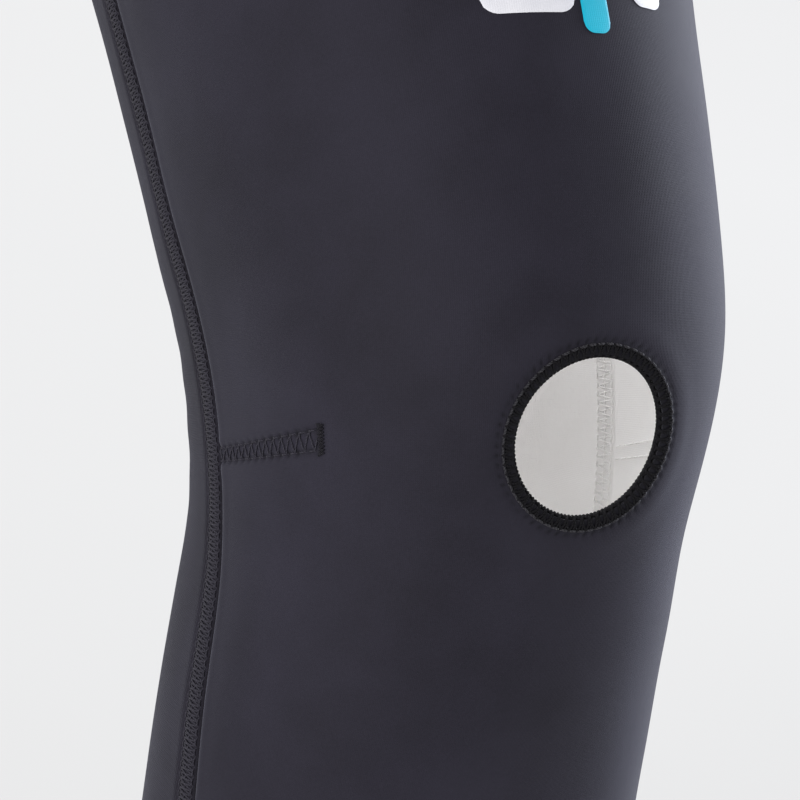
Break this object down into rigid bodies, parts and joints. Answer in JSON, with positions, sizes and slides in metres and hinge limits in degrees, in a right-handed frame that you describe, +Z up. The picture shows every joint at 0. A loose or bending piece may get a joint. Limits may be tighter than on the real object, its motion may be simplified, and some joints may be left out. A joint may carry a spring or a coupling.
{
  "type": "knee brace",
  "caption": "Soft tubular knee support sleeve, sewn with a bend at the knee, with a round opening over the kneecap.",
  "frame": {"origin": "centre of the lower opening, in the plane of the bottom hem", "axes": "+Z up along the calf, -Y towards the front of the knee, X across the leg; the thigh leans back towards +Y"},
  "size_m": [0.1398, 0.2015, 0.3025],
  "materials": {
    "front_knit": "smooth matt jersey with a faint sheen",
    "back_knit": "slightly coarser matt knit",
    "foam_core": "closed-cell foam, matt",
    "lining_knit": "smooth pale jersey",
    "thread": "multifilament polyester thread",
    "binding_tape": "ribbed elastic tape",
    "pale_film": "heat-pressed film, satin",
    "blue_film": "heat-pressed film, satin",
    "label_tape": "woven satin tape, blank"
  },
  "bodies": {
    "calf_half": {"front_face_calf": "front_knit", "front_foam_calf": "foam_core", "front_lining_calf": "lining_knit", "back_face_calf": "back_knit", "back_foam_calf": "foam_core", "back_lining_calf": "lining_knit", "left_seam_calf": "thread", "right_seam_calf": "thread", "front_face_knee": "front_knit", "front_foam_knee": "foam_core", "front_lining_knee": "lining_knit", "back_face_knee": "back_knit", "back_foam_knee": "foam_core", "back_lining_knee": "lining_knit", "left_seam_knee": "thread", "right_seam_knee": "thread", "left_dart_stitches": "thread", "right_dart_stitches": "thread", "left_dart_tack": "thread", "right_dart_tack": "thread", "opening_thread_ring": "thread", "bottom_binding": "binding_tape", "bottom_hem_stitches": "thread", "care_label": "label_tape"},
    "thigh_half": {"front_face_thigh": "front_knit", "front_foam_thigh": "foam_core", "front_lining_thigh": "lining_knit", "back_face_thigh": "back_knit", "back_foam_thigh": "foam_core", "back_lining_thigh": "lining_knit", "left_seam_thigh": "thread", "right_seam_thigh": "thread", "top_binding": "binding_tape", "top_hem_stitches": "thread", "emblem_pale_film": "pale_film", "emblem_blue_film": "blue_film"}
  },
  "joints": [
    {"name": "knee_flexion", "type": "hinge", "parent": "calf_half", "child": "thigh_half", "pos_m": [0, 0.01415, 0.14084], "axis": [-1, 0, 0], "range_deg": [-36, 54], "stiffness_Nm_per_rad": 2, "deforming": ["front_face_knee", "front_foam_knee", "front_lining_knee", "back_face_knee", "back_foam_knee", "back_lining_knee", "left_seam_knee", "right_seam_knee", "left_dart_stitches", "right_dart_stitches", "left_dart_tack", "right_dart_tack", "opening_thread_ring"]}
  ]
}
